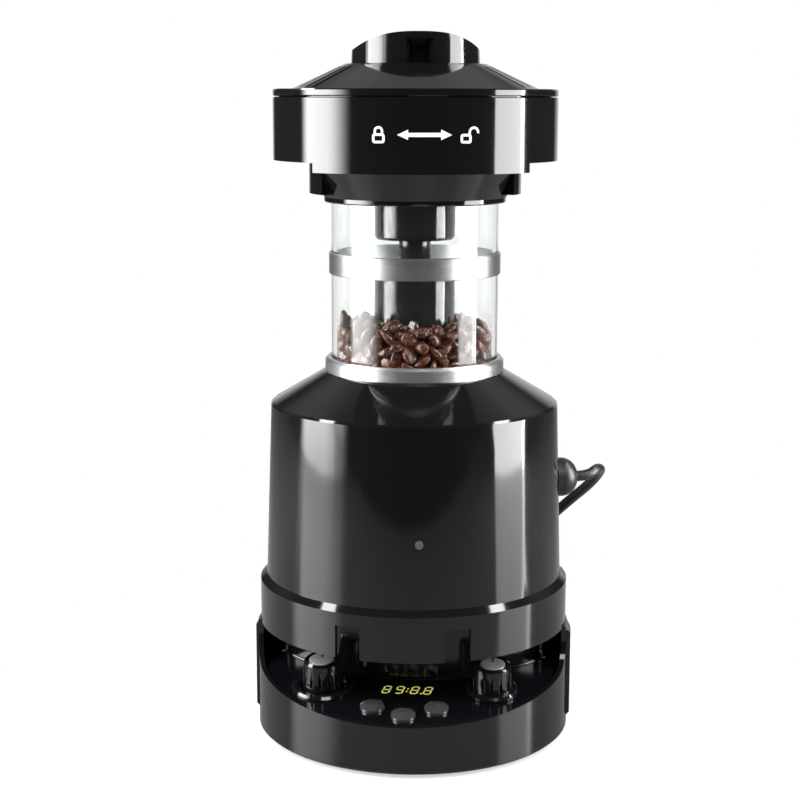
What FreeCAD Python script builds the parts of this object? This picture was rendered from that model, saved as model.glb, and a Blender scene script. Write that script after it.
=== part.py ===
import FreeCAD
import Part
import math
import os
from FreeCAD import Vector

# Home coffee bean roaster: a glass roasting chamber between a twist-lock cap and a round base.
# Millimetres, +Z up, origin at the middle of the base on the table, controls towards -Y.

# Overall sizes
base_radius = 84.0
tray_bottom_z = 2.0
tray_top_z = 60.0
ring_inset = 1.5
ring_top_z = 86.7
ring_bevel = 3.0
ring_step = 3.2
housing_taper = 3.0
housing_shoulder_z = 178.3
housing_mouth_z = 195.5
chamber_ring_top_z = 203.0
glass_top_z = 300.0
cap_radius = 73.7
cap_bottom_z = 306.0
cap_seam_z = 338.0
lid_rim_height = 4.0
lid_rim_width = 9.7
cone_foot_radius = cap_radius - lid_rim_width
cone_top_radius = 36.8
cone_height = 12.7
lid_knob_inset = 3.6
lid_knob_radius = cone_top_radius - lid_knob_inset
lid_knob_height = 15.5

# Walls and clearances
wall = 2.5
thin_wall = 1.5
seat_gap = 0.3
running_gap = 0.05
slide_gap = 0.4

# Circles that follow the base
ring_radius = base_radius - ring_inset
housing_foot_radius = ring_radius - ring_step - seat_gap
housing_neck_radius = housing_foot_radius - housing_taper

# Base
panel_tilt = 10.0
panel_front_z = 26.2
rim_lip = 0.8
recess_corner_y = -14.0
recess_sweep_radius = 17.0
back_wall_inset = 50.5
back_wall_radius = 105.0
back_wall_centre_y = back_wall_inset - base_radius + back_wall_radius
rear_start_y = -8.8
rear_bulge = 1.5
rear_radius = base_radius + rear_bulge
rear_bottom_z = 8.0
rear_top_z = 57.0
louvre_width = 3.0
louvre_height = 30.0
louvre_count = 15
louvre_step = 8.0
land_width = 5.3
land_radius = ring_radius - ring_step - land_width
ledge_width = 8.0
notch_width = 13.6
notch_top_z = 77.0
notch_angle = 19.7
deck_z = ring_top_z - ring_bevel
deck_screw_circle = land_radius - ledge_width / 2
deck_screw_radius = 1.5
deck_screw_bite = 2.0
foot_radius = 8.0
foot_inset = 16.0
foot_circle = base_radius - foot_inset
cover_radius = foot_circle - foot_radius - 2.0
intake_radius = 30.0

# Power board under the deck
power_board_width = 68.0
power_board_depth = 48.0
power_board_near_y = 4.0
post_radius = 2.5
post_height = 6.0
board_thickness = 1.6

# Controls, in the plane of the panel, set back from the front of the base
knob_x = 44.5
knob_y = 40.5 - base_radius
knob_radius = 10.4
knob_tip_radius = 9.2
knob_height = 16.5
knob_flange_radius = 13.3
flute_count = 14
flute_radius = 1.5
dial_ring_radius = 16.2
knob_shaft_radius = 3.0
button_radius = 6.25
button_rise = 1.4
button_dome = 1.6
button_travel = 1.5
button_side_x = 16.5
button_side_y = 20.5 - base_radius
button_middle_y = 13.0 - base_radius
display_y = 39.0 - base_radius
display_width = 34.0
display_depth = 14.0
control_board_width = 52.0
control_board_depth = 43.0
control_board_y = 30.0 - base_radius
pillar_radius = 2.0
pillar_inset = 2.5

# Chamber and stirrer
glass_radius = 43.7
glass_wall = 2.4
low_ring_width = 3.5
low_ring_radius = glass_radius + low_ring_width
mouth_lip = 0.8
housing_mouth_radius = low_ring_radius + mouth_lip
mid_band_z = 247.0
mid_band_height = 11.4
mid_band_wall = 1.1
plate_z = 186.0
plate_hole_radius = 1.6
column_radius = 21.2
column_top_z = 250.0
stirrer_shaft_radius = 8.4
stirrer_shaft_top_z = 284.0
hub_radius = 9.0
paddle_reach = 39.0
paddle_count = 4
dog_width = 14.0
dog_thickness = 4.0
dog_top_z = 182.0

# Heater, blower and motors
socket_bottom_z = 176.0
plenum_inset = 0.7
plenum_radius = glass_radius - plenum_inset
plenum_floor_z = 140.0
heater_radius = 30.0
heater_tube_radius = 3.2
heater_z = 160.0
scroll_radius = 46.0
standoff_height = 1.8
scroll_bottom_z = deck_z + wall + standoff_height
scroll_height = 22.0
impeller_radius = 40.0
blade_count = 16
blower_motor_radius = 24.0
blower_motor_height = 13.0
blower_shaft_reach = 8.0
gear_motor_radius = 22.0
gear_motor_height = 13.8
motor_shaft_radius = 3.0
dog_shaft_reach = 10.0

# Cap
cap_turn = 7.5
tab_bottom_z = 301.3
tab_half_angle = 46.5
cup_wall = 3.8
cup_mouth_radius = glass_radius + cup_wall
cup_mouth_z = 284.4
cup_flare = 7.7
cup_top_radius = cup_mouth_radius + cup_flare
wing_bottom_z = 289.0
wing_start_angle = 62.0
wing_end_angle = 118.0
upper_column_bottom_z = 265.0
filter_inset = 10.7
filter_radius = cap_radius - filter_inset
vent_slot_width = 2.6
vent_slot_count = 9
vent_slot_step = 8.0
pocket_outer_width = 17.5
pocket_inner_width = 6.7
pocket_depth = 8.0

# Mains cord
cord_radius = 2.9
gland_angle = 105.0
gland_z = 134.0
gland_radius = 10.5
gland_length = 12.0
gland_gap = 0.4
coil_inner_radius = 30.0
coil_pitch = 6.4
coil_turns = 1.5
plug_lead = 26.0
plug_length = 36.0
plug_width = 24.0
plug_thickness = 13.0

Z_AXIS = Vector(0, 0, 1)
X_AXIS = Vector(1, 0, 0)
Y_AXIS = Vector(0, 1, 0)
ORIGIN = Vector(0, 0, 0)


def disc(radius, low, high, x=0.0, y=0.0):
    return Part.makeCylinder(radius, high - low, Vector(x, y, low))


def tube(outer, inner, low, high):
    return disc(outer, low, high).cut(disc(inner, low - 1, high + 1))


def box(low_x, high_x, low_y, high_y, low_z, high_z):
    return Part.makeBox(high_x - low_x, high_y - low_y, high_z - low_z, Vector(low_x, low_y, low_z))


def revolved(points):
    """A body of revolution about Z from an outline of (radius, height) points."""
    corners = [Vector(radius, 0, height) for radius, height in points]
    face = Part.Face(Part.makePolygon(corners + corners[:1]))
    return face.revolve(ORIGIN, Z_AXIS, 360)


def wedge(start, end, radius, low, high):
    """A pie slice; angles in degrees from the front (-Y), growing towards +X."""
    span = end - start
    return Part.makeCylinder(radius, high - low, Vector(0, 0, low), Z_AXIS, span).rotate(
        ORIGIN, Z_AXIS, start - 90)


def at_angle(radius, angle, height):
    """The point at a radius and an angle from the front."""
    turn = math.radians(angle)
    return Vector(radius * math.sin(turn), -radius * math.cos(turn), height)


def turned(shape, angle):
    copy = shape.copy()
    copy.rotate(ORIGIN, Z_AXIS, angle)
    return copy


def join(shapes):
    return shapes[0].fuse(shapes[1:]).removeSplitter()


def save(name, shape):
    solids = shape.Solids
    whole = solids[0] if len(solids) == 1 else Part.makeCompound(solids)
    whole.exportStep("parts/" + name + ".step")
    print(name, len(solids), "volume %.0f" % whole.Volume, "valid" if shape.isValid() else "NOT VALID")


# Panel plane

def panel_z(y):
    return panel_front_z + math.tan(math.radians(panel_tilt)) * (y + base_radius)


def on_panel(shape, x, y):
    """Stands a shape made about the origin on the panel's face at x, y."""
    placed = shape.copy()
    placed.rotate(ORIGIN, X_AXIS, panel_tilt)
    placed.translate(Vector(x, y, panel_z(y)))
    return placed


# Base

def side_profile(corners, half_width):
    """A prism along X from (y, z) corners."""
    points = [Vector(-half_width, y, z) for y, z in corners]
    face = Part.Face(Part.makePolygon(points + points[:1]))
    return face.extrude(Vector(2 * half_width, 0, 0))


def recess_cutter():
    """The side view of the control recess: the panel's slope, a sweep and an upright end."""
    half_width = base_radius + 10
    front_y = -base_radius - 10
    slope = math.tan(math.radians(panel_tilt))
    top = tray_top_z + 1
    centre_y = recess_corner_y - recess_sweep_radius
    tilt = math.radians(panel_tilt)
    centre_z = panel_z(centre_y) + rim_lip + recess_sweep_radius / math.cos(tilt)
    low = Vector(-half_width, centre_y + recess_sweep_radius * math.sin(tilt),
                 centre_z - recess_sweep_radius * math.cos(tilt))
    middle_turn = (tilt - math.pi / 2) / 2
    middle = Vector(-half_width, centre_y + recess_sweep_radius * math.cos(middle_turn),
                    centre_z + recess_sweep_radius * math.sin(middle_turn))
    high = Vector(-half_width, centre_y + recess_sweep_radius, centre_z)
    front = Vector(-half_width, front_y, low.z + slope * (front_y - low.y))
    front_top = Vector(-half_width, front_y, top)
    back_top = Vector(-half_width, high.y, top)
    edges = [
        Part.makeLine(front, low),
        Part.Arc(low, middle, high).toShape(),
        Part.makeLine(high, back_top),
        Part.makeLine(back_top, front_top),
        Part.makeLine(front_top, front),
    ]
    return Part.Face(Part.Wire(edges)).extrude(Vector(2 * half_width, 0, 0))


def make_base_tray():
    chamfer = 1.5
    inner = base_radius - wall
    outline = [
        (cover_radius + seat_gap, tray_bottom_z),
        (base_radius - chamfer, tray_bottom_z),
        (base_radius, tray_bottom_z + chamfer),
        (base_radius, tray_top_z),
        (inner, tray_top_z),
        (inner, tray_bottom_z + wall),
        (cover_radius + seat_gap, tray_bottom_z + wall),
    ]
    tray = revolved(outline).cut(recess_cutter())
    reach = base_radius + 10
    behind = box(-reach, reach, rear_start_y, reach, rear_bottom_z, tray_top_z + 1)
    tray = tray.cut(behind)
    step = tube(base_radius - wall - seat_gap, base_radius - 2 * wall, tray_bottom_z + wall, rear_bottom_z)
    return join([tray, step])


def make_bottom_cover():
    cover = disc(cover_radius, tray_bottom_z, tray_bottom_z + wall)
    slots = []
    for row in range(-4, 5):
        y = row * 7.0
        reach = math.sqrt(intake_radius ** 2 - y ** 2)
        slots.append(box(-reach, reach, y - 1.5, y + 1.5, tray_bottom_z - 1, tray_bottom_z + wall + 1))
    return cover.cut(Part.makeCompound(slots))


def make_feet():
    return [disc(foot_radius, 0, tray_bottom_z, *at_angle(foot_circle, angle, 0)[:2])
            for angle in (45, 135, 225, 315)]


def make_rear_cover():
    """The rear wall of the base, set forward so that it ends flush with the base circle."""
    centre_y = base_radius - rear_radius
    inner = rear_radius - wall
    foot = rear_bottom_z + seat_gap
    chamfer = 2.0
    outline = [
        (inner, foot),
        (rear_radius - chamfer, foot),
        (rear_radius, foot + chamfer),
        (rear_radius, rear_top_z - chamfer),
        (rear_radius - chamfer, rear_top_z),
        (rear_radius - chamfer, tray_top_z - seat_gap),
        (inner - chamfer, tray_top_z - seat_gap),
        (inner - chamfer, rear_top_z - chamfer),
        (inner, rear_top_z - 2 * chamfer),
    ]
    shell = revolved(outline)
    middle = 180 - louvre_step * (louvre_count - 1) / 2
    slot_z = (foot + rear_top_z - louvre_height) / 2
    slots = []
    for index in range(louvre_count):
        slot = box(-louvre_width / 2, louvre_width / 2, -rear_radius - 5, -inner + 5,
                   slot_z, slot_z + louvre_height)
        slots.append(turned(slot, middle + index * louvre_step))
    shell = shell.cut(Part.makeCompound(slots))
    shell.translate(Vector(0, centre_y, 0))
    reach = rear_radius + 10
    front = box(-reach, reach, -reach, rear_start_y + seat_gap, 0, reach)
    return shell.cut(front)


def back_wall_side(inset, low, high):
    """The round space behind the recess's curved back wall, set in by a length."""
    return disc(back_wall_radius - inset, low, high, 0, back_wall_centre_y)


def make_base_ring():
    """The ring between the base and the housing, with the recess's ceiling and the deck's ledge."""
    inner_wall = ring_radius - wall
    ceiling_z = deck_z - wall
    outline = [
        (land_radius - ledge_width, ceiling_z),
        (inner_wall, ceiling_z),
        (inner_wall, tray_top_z + seat_gap),
        (ring_radius, tray_top_z + seat_gap),
        (ring_radius, deck_z),
        (ring_radius - ring_step, ring_top_z),
        (land_radius, ring_top_z),
        (land_radius, deck_z),
        (land_radius - ledge_width, deck_z),
    ]
    notches = []
    for side in (-1, 1):
        block = box(-notch_width / 2, notch_width / 2, -ring_radius - 5, 1 - inner_wall,
                    tray_top_z - 5, notch_top_z)
        notches.append(turned(block, side * notch_angle))
    ring = revolved(outline).cut(Part.makeCompound(notches))
    ceiling = disc(inner_wall, ceiling_z, deck_z).cut(back_wall_side(wall, 0, ring_top_z))
    pilots = [disc(deck_screw_radius, deck_z - deck_screw_bite, deck_z + 1, x, y)
              for x, y in deck_screw_places()]
    return join([ring, ceiling]).cut(Part.makeCompound(pilots))


def make_control_panel():
    """The sloping panel with its curved back wall, one moulding, with holes for what it carries."""
    radius = base_radius - wall - seat_gap / 2
    front_y = -base_radius
    back_y = 10.0
    drop = wall / math.cos(math.radians(panel_tilt))
    plate = side_profile([
        (front_y, panel_z(front_y) - drop),
        (back_y, panel_z(back_y) - drop),
        (back_y, panel_z(back_y)),
        (front_y, panel_z(front_y)),
    ], base_radius).common(disc(radius, 0, ring_top_z))
    below = side_profile([
        (front_y, panel_z(front_y) - drop),
        (front_y, -1),
        (back_y, -1),
        (back_y, panel_z(back_y) - drop),
    ], base_radius)
    upright = disc(ring_radius - wall - seat_gap, 0, deck_z - wall - seat_gap)
    upright = upright.common(back_wall_side(0, 0, ring_top_z)).cut(below)
    panel = join([plate, upright]).cut(back_wall_side(wall, -1, ring_top_z))
    hole_depth = 3 * wall
    for x, y in button_places():
        hole = disc(button_radius + seat_gap, -hole_depth, hole_depth)
        panel = panel.cut(on_panel(hole, x, y))
    for side in (-1, 1):
        hole = disc(knob_shaft_radius + 1.0, -hole_depth, hole_depth)
        panel = panel.cut(on_panel(hole, side * knob_x, knob_y))
    window = box(-display_width / 2, display_width / 2, -display_depth / 2, display_depth / 2,
                 -hole_depth, hole_depth)
    return panel.cut(on_panel(window, 0, display_y))


def button_places():
    return [(-button_side_x, button_side_y), (0.0, button_middle_y), (button_side_x, button_side_y)]


def make_button(x, y):
    """A domed cap with a retaining flange under the panel."""
    crown = button_rise + button_dome
    sphere_radius = (button_radius ** 2 + button_dome ** 2) / (2 * button_dome)
    stem = disc(button_radius, -wall - seat_gap - 1.0, crown)
    ball = Part.makeSphere(sphere_radius, Vector(0, 0, crown - sphere_radius))
    flange = disc(button_radius + 1.2, -wall - seat_gap - 1.0, -wall - seat_gap)
    lower = disc(button_radius, -wall - seat_gap - 1.0, button_rise - 0.2)
    return on_panel(join([stem.common(ball), lower, flange]), x, y)


def make_knob(flange_radius):
    """A fluted knob with a flange at its foot and a dished top."""
    foot = seat_gap
    flange_top = foot + 2.4
    edge = 1.2
    core = revolved([
        (0, foot), (knob_radius, foot), (knob_radius, flange_top),
        (knob_tip_radius + 0.1, knob_height - edge), (knob_tip_radius - edge, knob_height),
        (knob_tip_radius - 2 * edge, knob_height - 0.6), (0, knob_height - 0.6),
    ])
    flutes = []
    for index in range(flute_count):
        groove = Part.makeCylinder(flute_radius, knob_height - flange_top - 3.0,
                                   at_angle(knob_radius + 0.5, 0, flange_top + 1.0))
        flutes.append(turned(groove, index * 360 / flute_count))
    core = core.cut(Part.makeCompound(flutes))
    if flange_radius > knob_radius:
        flange = revolved([
            (0, foot), (flange_radius, foot), (flange_radius, flange_top - 1.0),
            (flange_radius - 1.2, flange_top), (0, flange_top),
        ])
        core = join([core, flange])
    bore = disc(knob_shaft_radius, 0, knob_height - 4.0)
    return core.cut(bore)


def make_dial_ring():
    inner = knob_radius + 1.0
    outline = [
        (inner, 0), (dial_ring_radius, 0), (dial_ring_radius, 0.8),
        (dial_ring_radius - 1.2, 2.0), (inner + 1.2, 2.0), (inner, 0.8),
    ]
    return on_panel(revolved(outline), -knob_x, knob_y)


def knob_shaft():
    return disc(knob_shaft_radius, -wall - 9.0, knob_height - 4.0)


def knob_encoder():
    body = box(-8, 8, -8, 8, -wall - 7.0, -wall)
    return body.cut(disc(knob_shaft_radius + running_gap, -wall - 10, 0))


def make_button_switches():
    low = -wall - seat_gap - 1.0 - button_travel - seat_gap
    switches = []
    for x, y in button_places():
        body = box(-3, 3, -3, 3, low - 4.0, low - 1.0)
        plunger = disc(1.6, low - 1.0, low)
        switches.append(on_panel(join([body, plunger]), x, y))
    return switches


def make_control_board():
    """The circuit board under the panel, hung from it on four pillars."""
    low = -wall - seat_gap - 1.0 - button_travel - seat_gap - 4.0
    half_width = control_board_width / 2
    half_depth = control_board_depth / 2
    pillar_x = half_width - pillar_inset
    pillar_y = half_depth - pillar_inset
    board = box(-half_width, half_width, -half_depth, half_depth, low - board_thickness, low)
    pillars = [disc(pillar_radius, low, -wall, x, y)
               for x in (-pillar_x, pillar_x) for y in (-pillar_y, pillar_y)]
    return on_panel(join([board] + pillars), 0, control_board_y)


def make_display_window():
    gap = 0.1
    window = box(-display_width / 2 + gap, display_width / 2 - gap, -display_depth / 2 + gap,
                 display_depth / 2 - gap, -wall, 0)
    return on_panel(window, 0, display_y)


def make_display_module():
    low = -wall - seat_gap - 1.0 - button_travel - seat_gap - 4.0
    module = box(-15, 15, -6, 6, low, -wall)
    return on_panel(module, 0, display_y)


# Housing and what it holds

def housing_radius(z):
    share = (z - ring_top_z) / (housing_shoulder_z - ring_top_z)
    return housing_foot_radius + share * (housing_neck_radius - housing_foot_radius)


def make_main_housing():
    outline = [
        (housing_foot_radius - wall, ring_top_z),
        (housing_foot_radius, ring_top_z),
        (housing_neck_radius, housing_shoulder_z),
        (housing_neck_radius - 1.2, housing_shoulder_z + 1.2),
        (housing_mouth_radius, housing_mouth_z),
        (low_ring_radius - 0.2, housing_mouth_z),
        (low_ring_radius - 0.2, housing_mouth_z - wall - 1),
        (housing_neck_radius - wall - 1, housing_shoulder_z - wall),
    ]
    shell = revolved(outline)
    hole = Part.makeCylinder(3.5, 20, at_angle(housing_radius(gland_z) - 10, gland_angle, gland_z),
                             at_angle(1, gland_angle, 0))
    return shell.cut(hole)


def make_indicator_dot():
    z = 120.0
    radius = housing_radius(z)
    dot = Part.makeCylinder(2.1, 1.0, at_angle(radius - 0.4, 0, z), Vector(0, -1, 0))
    keep = tube(radius + 0.6, radius + 0.1, z - 5, z + 5)
    return turned(dot.common(keep), 6)


def make_chamber_socket():
    """The heat-proof collar that the chamber drops into."""
    inner = glass_radius + wall + slide_gap
    outer = low_ring_radius - 0.4
    floor_hole = plenum_radius - wall
    outline = [
        (floor_hole, socket_bottom_z), (outer + 6, socket_bottom_z),
        (outer + 6, socket_bottom_z + wall), (outer, socket_bottom_z + wall),
        (outer, housing_mouth_z - 0.5), (inner, housing_mouth_z - 0.5),
        (inner, plate_z - wall - seat_gap), (floor_hole, plate_z - wall - seat_gap),
    ]
    return revolved(outline)


def make_plenum():
    """The hot-air cup under the roasting plate."""
    top = socket_bottom_z
    outline = [
        (motor_shaft_radius + 1.5, plenum_floor_z), (plenum_radius - 8, plenum_floor_z),
        (plenum_radius, plenum_floor_z + 8), (plenum_radius, top),
        (plenum_radius - thin_wall, top), (plenum_radius - thin_wall, plenum_floor_z + 8.6),
        (plenum_radius - 8.6, plenum_floor_z + thin_wall), (motor_shaft_radius + 1.5, plenum_floor_z + thin_wall),
    ]
    cup = revolved(outline)
    inlet = box(plenum_radius - 8, plenum_radius + 8, -9, 9, plenum_floor_z + 12, plenum_floor_z + 26)
    return cup.cut(inlet)


def make_heater_element():
    """A sheathed ring element whose two ends turn down through the plenum floor."""
    loop = Part.makeTorus(heater_radius, heater_tube_radius, Vector(0, 0, heater_z), Z_AXIS, -180, 180, 340)
    loop.rotate(ORIGIN, Z_AXIS, 100)
    legs = []
    for angle in (100, 80):
        turn = math.radians(angle)
        x = heater_radius * math.cos(turn)
        y = heater_radius * math.sin(turn)
        legs.append(disc(heater_tube_radius, plenum_floor_z + thin_wall, heater_z, x, y))
        legs.append(Part.makeSphere(heater_tube_radius, Vector(x, y, heater_z)))
    return join([loop] + legs)


def make_blower_scroll():
    top = scroll_bottom_z + scroll_height
    shell = disc(scroll_radius, scroll_bottom_z, top)
    hollow = disc(scroll_radius - wall, scroll_bottom_z + thin_wall, top - thin_wall)
    shell = shell.cut(hollow)
    shell = shell.cut(disc(intake_radius, scroll_bottom_z - 1, scroll_bottom_z + thin_wall + 1))
    shell = shell.cut(disc(motor_shaft_radius + 1.0, top - thin_wall - 1, top + 1))
    outlet = box(scroll_radius - 8, scroll_radius + 8, -9, 9, scroll_bottom_z + 6, top - 6)
    return shell.cut(outlet)


def make_air_duct():
    """The square duct that takes air from the blower up to the plenum."""
    near = scroll_radius - 1.0
    far = near + 18
    low = scroll_bottom_z + 2
    high = plenum_floor_z + 30
    duct = box(near, far, -11, 11, low, high)
    duct = duct.cut(box(near + thin_wall, far - thin_wall, -11 + thin_wall, 11 - thin_wall,
                        low + thin_wall, high - thin_wall))
    duct = duct.cut(box(near - 5, near + 5, -8, 8, scroll_bottom_z + 7, scroll_bottom_z + scroll_height - 7))
    duct = duct.cut(box(near - 5, near + 5, -8, 8, plenum_floor_z + 13, plenum_floor_z + 25))
    duct = duct.cut(disc(scroll_radius + seat_gap, scroll_bottom_z - 1, scroll_bottom_z + scroll_height + 1))
    neck = box(plenum_radius - 3, near + 0.5, -11, 11, plenum_floor_z + 10, plenum_floor_z + 28)
    neck = neck.cut(box(plenum_radius - 5, near + 5, -9, 9, plenum_floor_z + 12, plenum_floor_z + 26))
    neck = neck.cut(disc(plenum_radius + seat_gap, 0, 300))
    return join([duct, neck])


def make_impeller():
    low = scroll_bottom_z + thin_wall + 1.5
    high = scroll_bottom_z + scroll_height - thin_wall - 1.5
    plate = disc(impeller_radius, high - thin_wall, high)
    hub = disc(6.0, high - 9, high)
    shaft = disc(motor_shaft_radius, high, scroll_bottom_z + scroll_height + blower_shaft_reach)
    blades = []
    for index in range(blade_count):
        blade = box(impeller_radius - 14, impeller_radius - 1, -0.6, 0.6, low, high - thin_wall)
        blade.rotate(Vector(impeller_radius - 7, 0, 0), Z_AXIS, 35)
        blades.append(turned(blade, index * 360 / blade_count))
    return join([plate, hub, shaft] + blades)


def make_blower_motor():
    low = scroll_bottom_z + scroll_height
    body = disc(blower_motor_radius, low, low + blower_motor_height)
    cap = disc(blower_motor_radius - 6, low + blower_motor_height, low + blower_motor_height + 3)
    bore = disc(motor_shaft_radius + running_gap, low - 1, low + blower_shaft_reach + 1)
    return join([body, cap]).cut(bore)


def make_gear_motor():
    high = plenum_floor_z
    body = disc(gear_motor_radius, high - gear_motor_height, high)
    return body.cut(disc(motor_shaft_radius + running_gap, high - dog_shaft_reach - 1, high + 1))


def make_drive_dog():
    """The motor's output shaft, ending in a flat blade that drives the stirrer."""
    shaft = disc(motor_shaft_radius, plenum_floor_z - dog_shaft_reach, dog_top_z - 8)
    boss = disc(dog_width / 2, dog_top_z - 10, dog_top_z - 7)
    blade = box(-dog_width / 2, dog_width / 2, -dog_thickness / 2, dog_thickness / 2,
                dog_top_z - 8, dog_top_z)
    return join([shaft, boss, blade.common(disc(dog_width / 2, 0, 300))])


def make_thermal_cutout():
    """The safety switch clipped to the plenum wall."""
    can = Part.makeCylinder(6.0, 6.0, Vector(0, plenum_radius, heater_z), Y_AXIS)
    terminals = box(-5, 5, plenum_radius + 6, plenum_radius + 12, heater_z - 1, heater_z + 1)
    return join([can, terminals]).cut(disc(plenum_radius + 0.05, 0, 300))


def make_deck_plate():
    """The floor of the housing, which carries the blower and lets its air in."""
    deck = disc(land_radius - seat_gap, deck_z, deck_z + wall)
    deck = deck.cut(disc(intake_radius, deck_z - 1, deck_z + wall + 1))
    standoff = tube(scroll_radius, scroll_radius - 4, deck_z + wall, scroll_bottom_z)
    holes = [disc(deck_screw_radius + 0.2, deck_z - 1, deck_z + wall + 1, x, y)
             for x, y in deck_screw_places()]
    return join([deck, standoff]).cut(Part.makeCompound(holes))


def make_power_board():
    """The mains board on its posts, with a transformer, a relay and a finned heat sink."""
    floor = tray_bottom_z + wall
    half_width = power_board_width / 2
    near = power_board_near_y
    far = near + power_board_depth
    face = floor + post_height + board_thickness
    board = box(-half_width, half_width, near, far, floor + post_height, face)
    posts = [disc(post_radius, floor, floor + post_height, x, y)
             for x in (post_height - half_width, half_width - post_height)
             for y in (near + post_height, far - post_height)]
    transformer = box(-24, 0, near + 10, near + 32, face, face + 20)
    relay = box(8, 24, near + 8, near + 20, face, face + 15)
    fins = [box(8 + 6 * fin, 9.5 + 6 * fin, near + 34, near + 42, face, face + 25) for fin in range(4)]
    heat_sink = join([box(6, 30, near + 32, near + 34, face, face + 25)] + fins)
    return join([board, transformer, relay, heat_sink] + posts)


# Chamber

def make_low_ring():
    """The chamber's steel foot: the band that shows, and the skirt that drops into the socket."""
    skirt = glass_radius + wall
    glass_seat = glass_radius + seat_gap
    outline = [
        (plenum_radius - 1.0, plate_z - wall), (skirt, plate_z - wall), (skirt, housing_mouth_z + seat_gap),
        (low_ring_radius, housing_mouth_z + seat_gap), (low_ring_radius, chamber_ring_top_z - 1.4),
        (low_ring_radius - 1.2, chamber_ring_top_z), (glass_seat, chamber_ring_top_z),
        (glass_seat, plate_z), (plenum_radius - 1.0, plate_z),
    ]
    return revolved(outline)


def make_roast_plate():
    """The drilled plate that hot air rises through, with a bush for the stirrer."""
    plate = disc(glass_radius, plate_z, plate_z + thin_wall)
    holes = []
    for ring in range(3):
        radius = 20.0 + 7.0 * ring
        count = 14 + 5 * ring
        for index in range(count):
            holes.append(disc(plate_hole_radius, plate_z - 1, plate_z + thin_wall + 1,
                              *at_angle(radius, index * 360 / count, 0)[:2]))
    plate = plate.cut(Part.makeCompound(holes))
    bush = disc(hub_radius + 3.0, plate_z - 1.0, plate_z + 3.0)
    return join([plate, bush]).cut(disc(hub_radius + running_gap, 0, 300))


def make_glass_tube():
    low = plate_z + thin_wall
    return tube(glass_radius, glass_radius - glass_wall, low, glass_top_z)


def make_mid_band():
    inner = glass_radius + 0.2
    edge = 0.5
    top = mid_band_z + mid_band_height
    outer = inner + mid_band_wall
    return revolved([(inner, mid_band_z), (outer - edge, mid_band_z), (outer, mid_band_z + edge),
                     (outer, top - edge), (outer - edge, top), (inner, top)])


def make_stirrer_column():
    """The smooth drum in the middle of the beans, hollow, with a socket for the drive dog."""
    foot = plate_z + 3.0 + seat_gap
    edge = 2.0
    drum = revolved([
        (0, foot), (column_radius - edge, foot), (column_radius, foot + edge),
        (column_radius, column_top_z - edge), (column_radius - edge, column_top_z), (0, column_top_z),
    ])
    hub = disc(hub_radius, plate_z - 9.0, foot + 4)
    slot = box(-dog_width / 2 - seat_gap, dog_width / 2 + seat_gap, -dog_thickness / 2 - seat_gap,
               dog_thickness / 2 + seat_gap, plate_z - 10, dog_top_z + 1)
    hollow = disc(column_radius - 3, foot + 5, column_top_z - 3)
    bore = disc(stirrer_shaft_radius, column_top_z - 4, column_top_z + 1)
    return join([drum, hub]).cut(slot).cut(hollow).cut(bore)


def make_stirrer_shaft():
    tip = 1.0
    return revolved([(0, column_top_z - 3), (stirrer_shaft_radius, column_top_z - 3),
                     (stirrer_shaft_radius, stirrer_shaft_top_z - tip),
                     (stirrer_shaft_radius - tip, stirrer_shaft_top_z), (0, stirrer_shaft_top_z)])


def make_stirrer_paddles():
    """Four swept blades on a ring low on the drum, which turn the beans over."""
    foot = plate_z + 5.0
    collar = tube(column_radius + 2.0, column_radius, foot, foot + 10)
    blades = []
    for index in range(paddle_count):
        blade = box(column_radius + 0.5, paddle_reach, -1.0, 1.0, 0, 9)
        blade.rotate(ORIGIN, X_AXIS, 30)
        blade.translate(Vector(0, 0, foot + 1))
        blades.append(turned(blade, index * 360 / paddle_count + 20))
    blades = [blade.common(tube(paddle_reach, column_radius + 0.3, foot, foot + 20)) for blade in blades]
    return join([collar] + blades)


# Cap

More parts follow.
